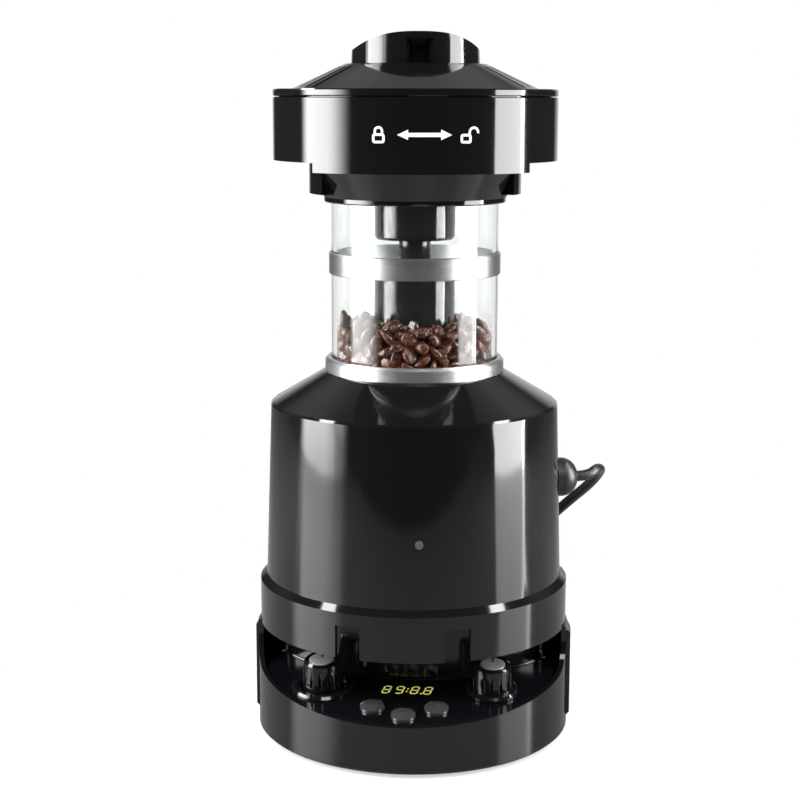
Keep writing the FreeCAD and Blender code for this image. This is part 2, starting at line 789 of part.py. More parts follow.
def make_cap_cup():
    """The lower cup of the cap: tapering mouth, side wings, slotted floor and locking lugs."""
    bore = glass_radius + 1.6
    shoulder_z = glass_top_z + seat_gap
    floor_top = cap_bottom_z - seat_gap
    neck = cup_top_radius - 2.2
    outline = [
        (bore, cup_mouth_z), (cup_mouth_radius - 0.6, cup_mouth_z), (cup_mouth_radius, cup_mouth_z + 0.6),
        (cup_mouth_radius, cup_mouth_z + 2.6), (cup_top_radius, tab_bottom_z + 0.5),
        (cup_top_radius, floor_top), (neck, floor_top), (neck, cap_bottom_z + 8.0),
        (neck - wall, cap_bottom_z + 8.0), (neck - wall, floor_top), (stirrer_shaft_radius + 4, floor_top),
        (stirrer_shaft_radius + 4, shoulder_z), (bore, shoulder_z),
    ]
    cup = revolved(outline)
    for side in (90, -90):
        half = (wing_end_angle - wing_start_angle) / 2
        wing = wedge(side - half, side + half, cup_top_radius, wing_bottom_z, floor_top)
        cup = cup.fuse(wing.cut(disc(bore, 0, 400)))
    facets = []
    for side in (0, 180):
        flat = box(-24, 24, -cup_top_radius - 8, -cup_mouth_radius + 0.6, cup_mouth_z - 2, tab_bottom_z + 0.4)
        flat.rotate(Vector(0, -cup_mouth_radius, cup_mouth_z), X_AXIS, 27)
        flat = flat.common(box(-60, 60, -60, 60, cup_mouth_z - 2, tab_bottom_z + 0.2))
        facets.append(turned(flat, side))
    cup = cup.cut(Part.makeCompound(facets))
    vents = []
    for index in range(10):
        vent = box(-1.8, 1.8, -bore + 4, -column_radius - 3, shoulder_z - 1, floor_top + 1)
        vents.append(turned(vent, index * 36))
    cup = cup.cut(Part.makeCompound(vents))
    lugs = [wedge(angle - 12, angle + 12, neck + 3.0, cap_bottom_z + 3.1, cap_bottom_z + 6.0).cut(
        disc(neck - 0.5, 0, 400)) for angle in (60, 180, 300)]
    return join([cup] + lugs)


def make_upper_column():
    """The fixed drum that hangs from the cap's floor and steadies the stirrer's shaft."""
    top = glass_top_z + seat_gap
    edge = 1.5
    drum = revolved([
        (0, top), (column_radius + 3, top), (column_radius + 3, top - wall), (column_radius, top - wall),
        (column_radius, upper_column_bottom_z + edge), (column_radius - edge, upper_column_bottom_z),
        (0, upper_column_bottom_z),
    ])
    bore = disc(stirrer_shaft_radius + running_gap, upper_column_bottom_z - 1, stirrer_shaft_top_z + 2)
    return drum.cut(bore)


def make_cap_gasket():
    inner = glass_radius + seat_gap
    outer = glass_radius + 1.6 - 0.05
    return tube(outer, inner, cup_mouth_z + 4, cup_mouth_z + 12)


def make_lock_band():
    """The twist-lock band, with a flush tab at the front and the back and an inward lip below."""
    inner = cap_radius - wall
    lip = cup_top_radius - 2.2 + seat_gap
    lip_top = cap_bottom_z + wall
    outline = [
        (lip, cap_bottom_z), (cap_radius, cap_bottom_z), (cap_radius, cap_seam_z - 0.4),
        (cap_radius - 0.8, cap_seam_z), (inner, cap_seam_z), (inner, lip_top), (lip, lip_top),
    ]
    band = revolved(outline)
    tabs = []
    for side in (0, 180):
        tab = wedge(side - tab_half_angle, side + tab_half_angle, cap_radius, tab_bottom_z, cap_bottom_z)
        tabs.append(tab.cut(disc(inner, 0, 400)))
    return join([band] + tabs)


def make_chaff_filter():
    """The slotted ring that keeps chaff inside the cap."""
    low = cap_bottom_z + wall
    high = cap_seam_z - 3.0
    ring = tube(filter_radius, filter_radius - 1.2, low, high)
    base = tube(filter_radius + 2.5, filter_radius - 1.2, low, low + 1.5)
    slots = []
    for index in range(18):
        slot = box(-4.0, 4.0, -filter_radius - 3, -filter_radius + 4, low + 5, high - 4)
        slots.append(turned(slot, index * 20))
    return join([ring.cut(Part.makeCompound(slots)), base])


def make_chaff_lid():
    """The lift-off lid: a flat rim, a spigot inside the band and a vented cone."""
    rim_low = cap_seam_z + seat_gap
    rim_high = cap_seam_z + lid_rim_height
    top = rim_high + cone_height
    spigot = cap_radius - wall - slide_gap
    outline = [
        (spigot - wall, cap_seam_z - 2.0), (spigot, cap_seam_z - 2.0), (spigot, rim_low),
        (cap_radius - 0.6, rim_low), (cap_radius, rim_low + 0.6), (cap_radius, rim_high - 0.6),
        (cap_radius - 0.6, rim_high), (cone_foot_radius, rim_high), (cone_top_radius, top),
        (0, top), (0, top - wall), (cone_top_radius - 1, top - wall),
        (cone_foot_radius - 1.5, rim_high - wall), (spigot - wall, rim_high - wall),
    ]
    lid = revolved(outline)
    slots = []
    for side in (90, -90):
        for index in range(vent_slot_count):
            angle = side + (index - (vent_slot_count - 1) / 2) * vent_slot_step
            slot = box(-vent_slot_width / 2, vent_slot_width / 2, -cone_foot_radius + 2,
                       -cone_top_radius - 3, cap_seam_z, top + 1)
            slots.append(turned(slot, angle))
    return lid.cut(Part.makeCompound(slots))


def make_lid_knob():
    """The broad arched knob with a finger pocket in its front and its back."""
    low = cap_seam_z + lid_rim_height + cone_height
    top = low + lid_knob_height
    side = lid_knob_radius - 0.6
    shoulder_z = low + 8.7
    flat = 12.0
    drum = revolved([(0, low), (lid_knob_radius, low), (side, top + 2), (0, top + 2)])
    left = Vector(-side - 2, -60, shoulder_z - 0.6)
    right = Vector(side + 2, -60, shoulder_z - 0.6)
    left_flat = Vector(-flat, -60, top)
    right_flat = Vector(flat, -60, top)
    reach = right.x - flat
    drop = top - right.z
    arc_radius = (reach ** 2 + drop ** 2) / (2 * drop)
    sag = arc_radius - math.sqrt(arc_radius ** 2 - (reach / 2) ** 2)
    left_middle = Vector(-flat - reach / 2, -60, top - sag)
    right_middle = Vector(flat + reach / 2, -60, top - sag)
    edges = [
        Part.makeLine(Vector(left.x, -60, low), left),
        Part.Arc(left, left_middle, left_flat).toShape(),
        Part.makeLine(left_flat, right_flat),
        Part.Arc(right_flat, right_middle, right).toShape(),
        Part.makeLine(right, Vector(right.x, -60, low)),
        Part.makeLine(Vector(right.x, -60, low), Vector(left.x, -60, low)),
    ]
    arch = Part.Face(Part.Wire(edges)).extrude(Vector(0, 120, 0))
    knob = drum.common(arch)
    face_y = -lid_knob_radius - 1
    inner_y = -lid_knob_radius + pocket_depth
    plan = [
        Vector(-pocket_outer_width / 2, face_y, low - 1), Vector(pocket_outer_width / 2, face_y, low - 1),
        Vector(pocket_inner_width / 2, inner_y, low - 1), Vector(-pocket_inner_width / 2, inner_y, low - 1),
    ]
    pocket = Part.Face(Part.makePolygon(plan + plan[:1])).extrude(Vector(0, 0, 30))
    ceiling = side_profile([(face_y, low - 2), (inner_y + 1, low - 2), (inner_y + 1, low + 8.8), (face_y, low + 13.0)],
                           20)
    pocket = pocket.common(ceiling)
    return knob.cut(pocket).cut(turned(pocket, 180))


# Mains cord

def make_strain_relief():
    """The domed gland on the housing, with its sleeve and the nut inside."""
    outward = at_angle(1, gland_angle, 0)
    wall_radius = housing_radius(gland_z)
    reach = wall_radius + gland_gap + gland_length
    foot = Vector(gland_radius, 0, 0)
    brim = Vector(gland_radius, 0, gland_length / 4)
    shoulder = Vector(gland_radius * 0.87, 0, gland_length * 0.72)
    tip = Vector(cord_radius + 2.0, 0, gland_length)
    top = Vector(0, 0, gland_length)
    dome_outline = Part.Wire([
        Part.makeLine(ORIGIN, foot), Part.makeLine(foot, brim), Part.Arc(brim, shoulder, tip).toShape(),
        Part.makeLine(tip, top), Part.makeLine(top, ORIGIN),
    ])
    dome = Part.Face(dome_outline).revolve(ORIGIN, Z_AXIS, 360)
    neck = disc(3.3, -8.0, 0.5)
    nut = disc(gland_radius - 3.5, -wall - 5.2, -wall - 1.9)
    gland = join([dome, neck, nut])
    gland.rotate(ORIGIN, Y_AXIS, 90)
    gland.rotate(ORIGIN, Z_AXIS, gland_angle - 90)
    gland.translate(at_angle(wall_radius + gland_gap, gland_angle, gland_z))
    return gland, outward, reach


def rounded_path(points):
    """Straight runs joined by tangent arcs, each as large as its two runs allow."""
    edges = []
    start = points[0]
    radii = []
    for before, corner, after in zip(points, points[1:], points[2:]):
        run_in = corner - before
        run_out = after - corner
        shorter = min(run_in.Length, run_out.Length)
        half_turn = run_in.getAngle(run_out) / 2
        reach = 0.45 * shorter
        radii.append(reach / math.tan(half_turn))
        direction_in = Vector(run_in).normalize()
        direction_out = Vector(run_out).normalize()
        arc_start = corner - direction_in * reach
        arc_end = corner + direction_out * reach
        bisector = (direction_out - direction_in).normalize()
        middle = corner + bisector * (radii[-1] / math.cos(half_turn) - radii[-1])
        edges.append(Part.makeLine(start, arc_start))
        edges.append(Part.Arc(arc_start, middle, arc_end).toShape())
        start = arc_end
    edges.append(Part.makeLine(start, points[-1]))
    print("cord radii", ["%.0f" % radius for radius in radii])
    return Part.Wire(edges)


def swept_tube(path):
    first = path.Edges[0]
    start = first.valueAt(first.FirstParameter)
    direction = first.tangentAt(first.FirstParameter)
    section = Part.Wire(Part.makeCircle(cord_radius, start, direction))
    return path.makePipeShell([section], True, False)


def biarc(start, start_way, end, end_way):
    """Two tangent arcs from one point and direction to another."""
    chord = end - start
    ways = start_way + end_way
    spread = 2 * (1 - start_way.dot(end_way))
    along = chord.dot(ways)
    reach = (-along + math.sqrt(along ** 2 + spread * chord.dot(chord))) / spread
    first_corner = start + start_way * reach
    second_corner = end - end_way * reach
    joint = (first_corner + second_corner) * 0.5
    return [arc_past(start, first_corner, joint), arc_past(joint, second_corner, end)]


def arc_past(start, corner, end):
    half_chord = (end - start) * 0.5
    centre = start + half_chord
    rise = corner - centre
    angle = half_chord.getAngle(corner - start)
    middle = centre + rise.normalize() * (half_chord.Length * math.tan(angle / 2))
    return Part.Arc(start, middle, end).toShape()


def coil_point(turn, centre, top_z, low_z):
    """A point on the coil's centre line after so many radians: in on top, down, out below."""
    wound = coil_turns * 2 * math.pi
    step = coil_pitch / (2 * math.pi)
    rest = wound + math.pi / 2
    radius = coil_inner_radius + step * (abs(turn - rest) - math.pi / 2)
    drop = min(max((turn - wound) / math.pi, 0), 1)
    height = top_z + (low_z - top_z) * (1 - math.cos(math.pi * drop)) / 2
    angle = -math.pi / 2 - turn
    return centre + Vector(radius * math.cos(angle), radius * math.sin(angle), height)


def coil_way(turn, centre, top_z, low_z):
    small = 1e-4
    after = coil_point(turn + small, centre, top_z, low_z)
    before = coil_point(turn - small, centre, top_z, low_z)
    return (after - before).normalize()


def coil_centre():
    start_radius = coil_inner_radius + coil_pitch * coil_turns
    near_side = base_radius + 14.0
    return Vector(-6.0, near_side + start_radius, 0)


def make_cord_coil():
    """The length of cord that is put away, one unbroken tube in two layers on the table."""
    centre = coil_centre()
    low_z = cord_radius
    top_z = cord_radius + coil_pitch
    total = (2 * coil_turns + 0.5) * 2 * math.pi
    quarter = math.pi / 2
    steps = int(round(total / quarter))
    turns = [index * total / steps for index in range(steps + 1)]
    edges = []
    for before, after in zip(turns, turns[1:]):
        edges += biarc(coil_point(before, centre, top_z, low_z), coil_way(before, centre, top_z, low_z),
                       coil_point(after, centre, top_z, low_z), coil_way(after, centre, top_z, low_z))
    start = coil_point(0, centre, top_z, low_z)
    end = coil_point(total, centre, top_z, low_z)
    start_way = coil_way(0, centre, top_z, low_z)
    end_way = coil_way(total, centre, top_z, low_z)
    lead_in = start - start_way * 2 * cord_radius
    lead_out = end + end_way * plug_lead
    path = Part.Wire([Part.makeLine(lead_in, start)] + edges + [Part.makeLine(end, lead_out)])
    print("coil length %.0f, least gap %.2f" % (path.Length, coil_gap(centre, top_z, low_z, total)))
    return swept_tube(path), lead_in, start_way, lead_out, end_way


def coil_gap(centre, top_z, low_z, total):
    """The least space between the coil's own turns, measured on points."""
    count = 500
    points = [coil_point(total * index / count, centre, top_z, low_z) for index in range(count + 1)]
    far_enough = int(count * 0.4 / (2 * coil_turns + 0.5))
    least = 1000.0
    for index, point in enumerate(points):
        for other in points[index + far_enough:]:
            least = min(least, (point - other).Length)
    return least - 2 * cord_radius


def make_cord(start, outward, end, end_way):
    """The free stretch: out of the gland, round behind the housing and down to the coil."""
    way = Vector(outward).normalize()
    points = [
        start,
        start + way * 7.5,
        Vector(99, 31, 137),
        Vector(102, 44, 133.5),
        Vector(96.5, 61, 121.5),
        Vector(85, 79, 107),
        Vector(69, 93, 88),
        Vector(55, 101, 62),
        Vector(42, 104, 38),
        Vector(26, end.y + 1.2, 19),
        end - Vector(end_way).normalize() * 12.0,
        end,
    ]
    path = rounded_path(points)
    shape = swept_tube(path)
    length = path.Length
    section = math.pi * cord_radius ** 2
    print("cord free length %.0f, volume over section times length %.4f" % (
        length, shape.Volume / (section * length)))
    return shape


def make_plug(end, end_way):
    """A moulded two-pin plug lying flat at the cord's end."""
    body = box(0, plug_length, -plug_width / 2, plug_width / 2, 0, plug_thickness)
    edges = [edge for edge in body.Edges if abs(edge.tangentAt(edge.FirstParameter).x) < 0.5
             and abs(edge.tangentAt(edge.FirstParameter).z) > 0.5]
    body = body.makeFillet(7.0, edges)
    sleeve = Part.makeCylinder(cord_radius + 1.6, 14.0, Vector(-12.0, 0, cord_radius), X_AXIS)
    sleeve = sleeve.common(box(-20, 20, -20, 20, 0, 40))
    pins = [Part.makeCylinder(2.2, 19.0, Vector(plug_length - 0.5, side * 9.5, plug_thickness / 2), X_AXIS)
            for side in (-1, 1)]
    plug = join([body, sleeve] + pins)
    plug.rotate(ORIGIN, Z_AXIS, math.degrees(math.atan2(end_way.y, end_way.x)))
    way = Vector(end_way.x, end_way.y, 0).normalize()
    plug.translate(Vector(end.x, end.y, 0) + way * 12.0)
    return plug


# Fasteners

def deck_screw_places():
    return [at_angle(deck_screw_circle, 45 + index * 90, 0)[:2] for index in range(4)]


def make_deck_screws():
    """Four pan-head screws that hold the deck on the ring's ledge."""
    screws = []
    for x, y in deck_screw_places():
        shank = disc(deck_screw_radius, deck_z - deck_screw_bite, deck_z + wall, x, y)
        head = disc(2 * deck_screw_radius, deck_z + wall, deck_z + wall + deck_screw_radius, x, y)
        screws.append(join([shank, head]))
    return screws


def main():
    os.makedirs("parts", exist_ok=True)
    save("base_tray", make_base_tray())
    save("bottom_cover", make_bottom_cover())
    save("feet", Part.makeCompound(make_feet()))
    save("rear_cover", make_rear_cover())
    save("base_ring", make_base_ring())
    save("control_panel", make_control_panel())
    save("display_window", make_display_window())
    save("display_module", make_display_module())
    save("control_board", make_control_board())
    save("button_switches", Part.makeCompound(make_button_switches()))
    save("dial_ring", make_dial_ring())
    for name, side, flange in (("left", -1, 0), ("right", 1, knob_flange_radius)):
        save(name + "_knob", on_panel(make_knob(flange), side * knob_x, knob_y))
        save(name + "_knob_shaft", on_panel(knob_shaft(), side * knob_x, knob_y))
        save(name + "_encoder", on_panel(knob_encoder(), side * knob_x, knob_y))
    for name, place in zip(("left_button", "middle_button", "right_button"), button_places()):
        save(name, make_button(*place))
    save("main_housing", make_main_housing())
    save("indicator_dot", make_indicator_dot())
    save("chamber_socket", make_chamber_socket())
    save("plenum", make_plenum())
    save("heater_element", make_heater_element())
    save("thermal_cutout", make_thermal_cutout())
    save("air_duct", make_air_duct())
    save("blower_scroll", make_blower_scroll())
    save("impeller", make_impeller())
    save("blower_motor", make_blower_motor())
    save("gear_motor", make_gear_motor())
    save("drive_dog", make_drive_dog())
    save("deck_plate", make_deck_plate())
    save("deck_screws", Part.makeCompound(make_deck_screws()))
    save("power_board", make_power_board())
    save("low_ring", make_low_ring())
    save("roast_plate", make_roast_plate())
    save("glass_tube", make_glass_tube())
    save("mid_band", make_mid_band())
    save("stirrer_column", make_stirrer_column())
    save("stirrer_shaft", make_stirrer_shaft())
    save("stirrer_paddles", make_stirrer_paddles())
    for name, make in (
        ("cap_cup", make_cap_cup), ("upper_column", make_upper_column), ("cap_gasket", make_cap_gasket),
        ("lock_band", make_lock_band), ("chaff_filter", make_chaff_filter),
        ("chaff_lid", make_chaff_lid), ("lid_knob", make_lid_knob),
    ):
        save(name, turned(make(), cap_turn))
    gland, outward, reach = make_strain_relief()
    save("strain_relief", gland)
    coil, lead_in, lead_way, lead_out, end_way = make_cord_coil()
    save("cord_coil", coil)
    exit_point = at_angle(reach, gland_angle, gland_z)
    save("cord", make_cord(exit_point, outward, lead_in, lead_way))
    save("plug", make_plug(lead_out, end_way))


main()
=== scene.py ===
import math

import bmesh
import bpy
import numpy as np
from mathutils import Matrix, Vector


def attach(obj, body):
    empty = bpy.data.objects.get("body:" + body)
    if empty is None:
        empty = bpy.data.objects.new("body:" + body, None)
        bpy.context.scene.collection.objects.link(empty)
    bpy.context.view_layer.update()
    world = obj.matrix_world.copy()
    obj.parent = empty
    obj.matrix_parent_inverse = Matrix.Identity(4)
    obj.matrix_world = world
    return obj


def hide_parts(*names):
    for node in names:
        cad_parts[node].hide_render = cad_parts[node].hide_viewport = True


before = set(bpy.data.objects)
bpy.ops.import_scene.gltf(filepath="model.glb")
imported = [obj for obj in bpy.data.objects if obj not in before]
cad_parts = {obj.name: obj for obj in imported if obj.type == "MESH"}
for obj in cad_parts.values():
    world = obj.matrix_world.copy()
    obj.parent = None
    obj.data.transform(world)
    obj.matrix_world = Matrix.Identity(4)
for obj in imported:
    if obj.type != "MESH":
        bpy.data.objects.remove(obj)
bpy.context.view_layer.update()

# Metres, in the frame of the solids: origin at the middle of the base, controls towards -Y.
MM = 0.001
CORD_START = 0.0898

# Degrees, turned to radians.
CAP_TURN = math.radians(7.5)
PANEL_TILT = math.radians(10.0)

# Millimetres.
BAND_RADIUS = 73.7
BAND_PRINT_Z = 320.2
PANEL_FRONT_Z = 26.2
PANEL_FRONT_Y = 84.0
BUTTON_CROWN = 3.0
KNOB_CENTRE_X = 44.5
KNOB_CENTRE_Y = -43.5
KNOB_DISC_RISE = 15.9
KNOB_FOOT_Z = 354.7
KNOB_RISE = 15.5
DRUM_RADIUS = 21.2
GLASS_RADIUS = 41.3
ROAST_PLATE_Z = 187.6


# Scene, camera and light

def set_view():
    scene = bpy.context.scene
    scene.view_settings.view_transform = "Standard"


def add_camera():
    """The photograph's camera: distance, height and lens solved from the object's circles."""
    azimuth = math.radians(4.0)
    distance = 0.8893
    height = 0.3372
    data = bpy.data.cameras.new("camera")
    data.sensor_width = 36.0
    focal_pixels, frame_pixels = 1694.0, 800.0
    data.lens = focal_pixels / frame_pixels * 36.0
    camera = bpy.data.objects.new("camera", data)
    camera.location = (distance * math.sin(azimuth), -distance * math.cos(azimuth), height)
    camera.rotation_euler = (math.radians(90.0 - 10.09), math.radians(-0.15), azimuth + math.radians(0.514))
    bpy.context.scene.collection.objects.link(camera)
    bpy.context.scene.camera = camera


def new_material(name):
    material = bpy.data.materials.new(name)
    material.use_nodes = True
    tree = material.node_tree
    tree.nodes.clear()
    output = tree.nodes.new("ShaderNodeOutputMaterial")
    output.name = "Material Output"
    shader = tree.nodes.new("ShaderNodeBsdfPrincipled")
    tree.links.new(shader.outputs[0], output.inputs["Surface"])
    return material, tree, shader


def node(tree, kind, **settings):
    made = tree.nodes.new(kind)
    for key, value in settings.items():
        if hasattr(made, key):
            setattr(made, key, value)
        else:
            made.inputs[key].default_value = value
    return made


def object_coordinates(tree, scale=(1, 1, 1)):
    source = tree.nodes.new("ShaderNodeTexCoord")
    mapping = tree.nodes.new("ShaderNodeMapping")
    mapping.inputs["Scale"].default_value = scale
    tree.links.new(source.outputs["Object"], mapping.inputs["Vector"])
    return mapping.outputs["Vector"]


def add_bump(tree, shader, height, strength, distance):
    bump = tree.nodes.new("ShaderNodeBump")
    bump.inputs["Strength"].default_value = strength
    bump.inputs["Distance"].default_value = distance
    tree.links.new(height, bump.inputs["Height"])
    tree.links.new(bump.outputs["Normal"], shader.inputs["Normal"])


def map_range(tree, value, low, high):
    made = tree.nodes.new("ShaderNodeMapRange")
    made.inputs["To Min"].default_value = low
    made.inputs["To Max"].default_value = high
    tree.links.new(value, made.inputs["Value"])
    return made.outputs["Result"]


def gloss_plastic(name, colour, roughness=0.07, grain=0.02, tint=0.25):
    """Moulded glossy plastic: a faint flow ripple, fine dust and uneven polish."""
    material, tree, shader = new_material(name)
    where = object_coordinates(tree)
    ripple = node(tree, "ShaderNodeTexNoise", Scale=38.0, Detail=2.0)
    smear = node(tree, "ShaderNodeTexNoise", Scale=9.0, Detail=5.0)
    dust = node(tree, "ShaderNodeTexVoronoi", Scale=900.0)
    for texture in (ripple, smear, dust):
        tree.links.new(where, texture.inputs["Vector"])
    polish = map_range(tree, smear.outputs["Fac"], roughness * 0.6, roughness * 1.6)
    tree.links.new(polish, shader.inputs["Roughness"])
    ramp = tree.nodes.new("ShaderNodeValToRGB")
    ramp.color_ramp.elements[0].position = 0.0
    ramp.color_ramp.elements[0].color = (*[c * (1 + tint) + 0.012 for c in colour], 1)
    ramp.color_ramp.elements[1].position = 0.06
    ramp.color_ramp.elements[1].color = (*colour, 1)
    tree.links.new(dust.outputs["Distance"], ramp.inputs["Fac"])
    tree.links.new(ramp.outputs["Color"], shader.inputs["Base Color"])
    add_bump(tree, shader, ripple.outputs["Fac"], grain, 0.002)
    shader.inputs["IOR"].default_value = 1.5
    return material


def matte_plastic(name, colour, roughness=0.45, scale=700.0):
    """Spark-eroded plastic with a fine even grain."""
    material, tree, shader = new_material(name)
    where = object_coordinates(tree)
    grain = node(tree, "ShaderNodeTexNoise", Scale=scale, Detail=3.0)
    patch = node(tree, "ShaderNodeTexNoise", Scale=22.0, Detail=4.0)
    for texture in (grain, patch):
        tree.links.new(where, texture.inputs["Vector"])
    mix = tree.nodes.new("ShaderNodeMix")
    mix.data_type = "RGBA"
    mix.inputs[6].default_value = (*[c * 0.82 for c in colour], 1)
    mix.inputs[7].default_value = (*[min(c * 1.15, 1) for c in colour], 1)
    tree.links.new(patch.outputs["Fac"], mix.inputs[0])
    tree.links.new(mix.outputs[2], shader.inputs["Base Color"])
    polish = map_range(tree, grain.outputs["Fac"], roughness * 0.85, roughness * 1.2)
    tree.links.new(polish, shader.inputs["Roughness"])
    add_bump(tree, shader, grain.outputs["Fac"], 0.15, 0.0003)
    return material


def brushed_steel(name, colour=(0.56, 0.56, 0.57), roughness=0.3):
    """Steel brushed round the axis: long fine lines along the circumference."""
    material, tree, shader = new_material(name)
    where = object_coordinates(tree, (6.0, 6.0, 2600.0))
    lines = node(tree, "ShaderNodeTexNoise", Scale=1.0, Detail=6.0, Roughness=0.7)
    tree.links.new(where, lines.inputs["Vector"])
    broad = node(tree, "ShaderNodeTexNoise", Scale=16.0, Detail=3.0)
    tree.links.new(object_coordinates(tree), broad.inputs["Vector"])
    mix = tree.nodes.new("ShaderNodeMix")
    mix.data_type = "RGBA"
    mix.inputs[6].default_value = (*[c * 0.6 for c in colour], 1)
    mix.inputs[7].default_value = (*[min(c * 1.2, 1) for c in colour], 1)
    tree.links.new(lines.outputs["Fac"], mix.inputs[0])
    tree.links.new(mix.outputs[2], shader.inputs["Base Color"])
    polish = map_range(tree, broad.outputs["Fac"], roughness * 0.75, roughness * 1.3)
    tree.links.new(polish, shader.inputs["Roughness"])
    shader.inputs["Metallic"].default_value = 1.0
    add_bump(tree, shader, lines.outputs["Fac"], 0.35, 0.0003)
    return material


def cast_metal(name, colour, roughness=0.35, metallic=1.0):
    """Cast or coated metal with a fine speckle."""
    material, tree, shader = new_material(name)
    where = object_coordinates(tree)
    speckle = node(tree, "ShaderNodeTexNoise", Scale=260.0, Detail=4.0)
    tree.links.new(where, speckle.inputs["Vector"])
    mix = tree.nodes.new("ShaderNodeMix")
    mix.data_type = "RGBA"
    mix.inputs[6].default_value = (*[c * 0.8 for c in colour], 1)
    mix.inputs[7].default_value = (*colour, 1)
    tree.links.new(speckle.outputs["Fac"], mix.inputs[0])
    tree.links.new(mix.outputs[2], shader.inputs["Base Color"])
    polish = map_range(tree, speckle.outputs["Fac"], roughness * 0.8, roughness * 1.25)
    tree.links.new(polish, shader.inputs["Roughness"])
    shader.inputs["Metallic"].default_value = metallic
    add_bump(tree, shader, speckle.outputs["Fac"], 0.1, 0.0003)
    return material


def clear_glass(name):
    """Heat-proof glass with a faint wave in the wall, clear to shadow rays."""
    material, tree, shader = new_material(name)
    where = object_coordinates(tree)
    wave = node(tree, "ShaderNodeTexNoise", Scale=14.0, Detail=1.0)
    tree.links.new(where, wave.inputs["Vector"])
    shader.inputs["Base Color"].default_value = (0.97, 0.985, 0.98, 1)
    shader.inputs["Roughness"].default_value = 0.015
    shader.inputs["IOR"].default_value = 1.3
    shader.inputs["Transmission Weight"].default_value = 1.0
    add_bump(tree, shader, wave.outputs["Fac"], 0.02, 0.002)
    clear = tree.nodes.new("ShaderNodeBsdfTransparent")
    clear.inputs["Color"].default_value = (0.95, 0.96, 0.955, 1)
    path = tree.nodes.new("ShaderNodeLightPath")
    mix = tree.nodes.new("ShaderNodeMixShader")
    tree.links.new(path.outputs["Is Shadow Ray"], mix.inputs["Fac"])
    tree.links.new(shader.outputs[0], mix.inputs[1])
    tree.links.new(clear.outputs[0], mix.inputs[2])
    tree.links.new(mix.outputs[0], tree.nodes["Material Output"].inputs["Surface"])
    return material


def bean_material():
    """Roasted bean: oily brown in two tones that drift over the heap, with a fine grain."""
    material, tree, shader = new_material("roasted_bean")
    where = object_coordinates(tree)
    tone = node(tree, "ShaderNodeTexNoise", Scale=110.0, Detail=3.0)
    grain = node(tree, "ShaderNodeTexNoise", Scale=900.0, Detail=4.0)
    for texture in (tone, grain):
        tree.links.new(where, texture.inputs["Vector"])
    ramp = tree.nodes.new("ShaderNodeValToRGB")
    ramp.color_ramp.elements[0].position = 0.3
    ramp.color_ramp.elements[0].color = (0.007, 0.0018, 0.0008, 1)
    ramp.color_ramp.elements[1].position = 0.7
    ramp.color_ramp.elements[1].color = (0.07, 0.021, 0.008, 1)
    tree.links.new(tone.outputs["Fac"], ramp.inputs["Fac"])
    tree.links.new(ramp.outputs["Color"], shader.inputs["Base Color"])
    tree.links.new(map_range(tree, grain.outputs["Fac"], 0.16, 0.36), shader.inputs["Roughness"])
    add_bump(tree, shader, grain.outputs["Fac"], 0.35, 0.0004)
    return material


def glow(name, colour, strength):
    """A lit display segment, slightly uneven."""
    material, tree, shader = new_material(name)
    where = object_coordinates(tree)
    grain = node(tree, "ShaderNodeTexNoise", Scale=500.0, Detail=2.0)
    tree.links.new(where, grain.inputs["Vector"])
    mix = tree.nodes.new("ShaderNodeMix")
    mix.data_type = "RGBA"
    mix.inputs[6].default_value = (*[c * 0.85 for c in colour], 1)
    mix.inputs[7].default_value = (*colour, 1)
    tree.links.new(grain.outputs["Fac"], mix.inputs[0])
    tree.links.new(mix.outputs[2], shader.inputs["Base Color"])
    tree.links.new(mix.outputs[2], shader.inputs["Emission Color"])
    shader.inputs["Emission Strength"].default_value = strength
    return material


def paint(material, *nodes):
    for name in nodes:
        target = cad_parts[name]
        for index in range(max(1, len(target.material_slots))):
            if target.material_slots:
                target.material_slots[index].material = material
            else:
                target.data.materials.append(material)


def set_world():
    """A white backdrop behind the object and a dim room round the camera, as in a product studio."""
    world = bpy.data.worlds.new("studio")
    bpy.context.scene.world = world
    world.use_nodes = True
    tree = world.node_tree
    tree.nodes.clear()
    output = tree.nodes.new("ShaderNodeOutputWorld")
    room = tree.nodes.new("ShaderNodeBackground")
    white = tree.nodes.new("ShaderNodeBackground")
    white.inputs["Color"].default_value = (1, 1, 1, 1)
    white.inputs["Strength"].default_value = 1.0
    where = tree.nodes.new("ShaderNodeTexCoord")
    split = tree.nodes.new("ShaderNodeSeparateXYZ")
    tree.links.new(where.outputs["Generated"], split.inputs[0])
    backdrop = world_ramp(tree, split.outputs["Y"], (0.87, 0.97), (0.035, 1.0))
    above = world_ramp(tree, split.outputs["Z"], (0.30, 0.70), (0.0, 1.0))
    behind = world_ramp(tree, split.outputs["Y"], (0.25, 0.75), (0.0, 0.5))
    ceiling = world_math(tree, "MULTIPLY", above, behind)
    tree.links.new(world_math(tree, "ADD", backdrop, ceiling), room.inputs["Strength"])
    path = tree.nodes.new("ShaderNodeLightPath")
    far_side = world_ramp(tree, split.outputs["Y"], (0.25, 0.35), (0.0, 1.0))
    through = world_math(tree, "MULTIPLY", path.outputs["Is Transmission Ray"], far_side)
    seen = world_math(tree, "MAXIMUM", path.outputs["Is Camera Ray"], through)
    mix = tree.nodes.new("ShaderNodeMixShader")
    tree.links.new(seen, mix.inputs["Fac"])
    tree.links.new(room.outputs[0], mix.inputs[1])
    tree.links.new(white.outputs[0], mix.inputs[2])
    tree.links.new(mix.outputs[0], output.inputs["Surface"])


